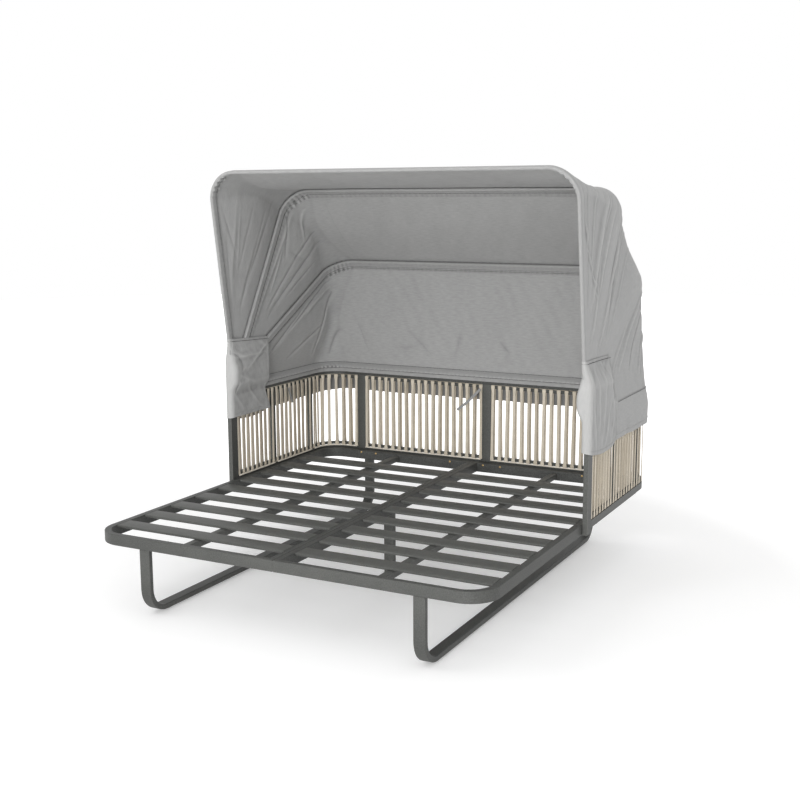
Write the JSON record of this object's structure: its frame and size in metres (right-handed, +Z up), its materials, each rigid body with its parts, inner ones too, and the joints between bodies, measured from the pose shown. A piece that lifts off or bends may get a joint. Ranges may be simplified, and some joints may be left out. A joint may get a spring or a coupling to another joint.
{
  "type": "outdoor daybed with canopy",
  "caption": "Outdoor daybed: slatted deck on sled legs, low rope-wound wall round the back, and a fabric canopy on bows that folds back over the wall.",
  "frame": {"origin": "on the floor, below the middle of the whole part's outline seen from above", "axes": "+Z up; +Y towards the back wall, away from the open end of the deck; +X to the right of someone who looks along +Y"},
  "size_m": [1.6564, 1.7574, 1.6282],
  "materials": {
    "frame_paint": "dark grey powder coat, fine texture, satin",
    "rope": "beige flat woven rope, matt",
    "canopy_fabric": "mid grey plain-woven outdoor cloth, matt",
    "glide_rubber": "black, matt",
    "bolt_steel": "plain, satin"
  },
  "bodies": {
    "daybed_frame": {"left_deck_frame": "frame_paint", "right_deck_frame": "frame_paint", "left_slat_1": "frame_paint", "left_slat_2": "frame_paint", "left_slat_3": "frame_paint", "left_slat_4": "frame_paint", "left_slat_5": "frame_paint", "left_slat_6": "frame_paint", "left_slat_7": "frame_paint", "left_slat_8": "frame_paint", "left_slat_9": "frame_paint", "right_slat_1": "frame_paint", "right_slat_2": "frame_paint", "right_slat_3": "frame_paint", "right_slat_4": "frame_paint", "right_slat_5": "frame_paint", "right_slat_6": "frame_paint", "right_slat_7": "frame_paint", "right_slat_8": "frame_paint", "right_slat_9": "frame_paint", "left_mid_rail": "frame_paint", "right_mid_rail": "frame_paint", "left_sled_leg": "frame_paint", "right_sled_leg": "frame_paint", "left_front_glide": "glide_rubber", "left_rear_glide": "glide_rubber", "right_front_glide": "glide_rubber", "right_rear_glide": "glide_rubber", "centre_leg": "frame_paint", "surround_base_rail": "frame_paint", "surround_lower_bar": "frame_paint", "surround_upper_bar": "frame_paint", "surround_top_rail": "frame_paint", "left_side_post_1": "frame_paint", "left_side_post_2": "frame_paint", "back_left_post": "frame_paint", "right_side_post_1": "frame_paint", "right_side_post_2": "frame_paint", "back_right_post": "frame_paint", "back_middle_post": "frame_paint", "left_front_post": "frame_paint", "right_front_post": "frame_paint", "left_side_rope_1": "rope", "left_side_rope_2": "rope", "left_corner_rope": "rope", "back_left_rope": "rope", "back_right_rope": "rope", "right_corner_rope": "rope", "right_side_rope_2": "rope", "right_side_rope_1": "rope", "left_pivot_bolt": "bolt_steel", "right_pivot_bolt": "bolt_steel", "canopy_skirt": "canopy_fabric"},
    "rear_bow_body": {"rear_bow": "frame_paint", "rear_canopy_panel": "canopy_fabric"},
    "middle_bow_body": {"middle_bow": "frame_paint", "middle_canopy_panel": "canopy_fabric"},
    "front_bow_body": {"front_bow": "frame_paint", "front_canopy_panel": "canopy_fabric"}
  },
  "joints": [
    {"name": "canopy_fold", "type": "hinge", "parent": "daybed_frame", "child": "rear_bow_body", "pos_m": [0, 0.04128, 0.762], "axis": [-1, 0, 0], "range_deg": [0, 29], "deforming": ["rear_canopy_panel", "canopy_skirt"]},
    {"name": "middle_bow_fold", "type": "hinge", "parent": "rear_bow_body", "child": "middle_bow_body", "pos_m": [0, 0.04128, 0.762], "axis": [-1, 0, 0], "range_deg": [0, 29.7], "deforming": ["middle_canopy_panel"]},
    {"name": "front_bow_fold", "type": "hinge", "parent": "middle_bow_body", "child": "front_bow_body", "pos_m": [0, 0.04128, 0.762], "axis": [-1, 0, 0], "range_deg": [0, 35.2], "deforming": ["front_canopy_panel"]}
  ],
  "couplings": [
    {"joint": "middle_bow_fold", "follows": "canopy_fold", "ratio": 1.0241},
    {"joint": "front_bow_fold", "follows": "canopy_fold", "ratio": 1.2136}
  ]
}
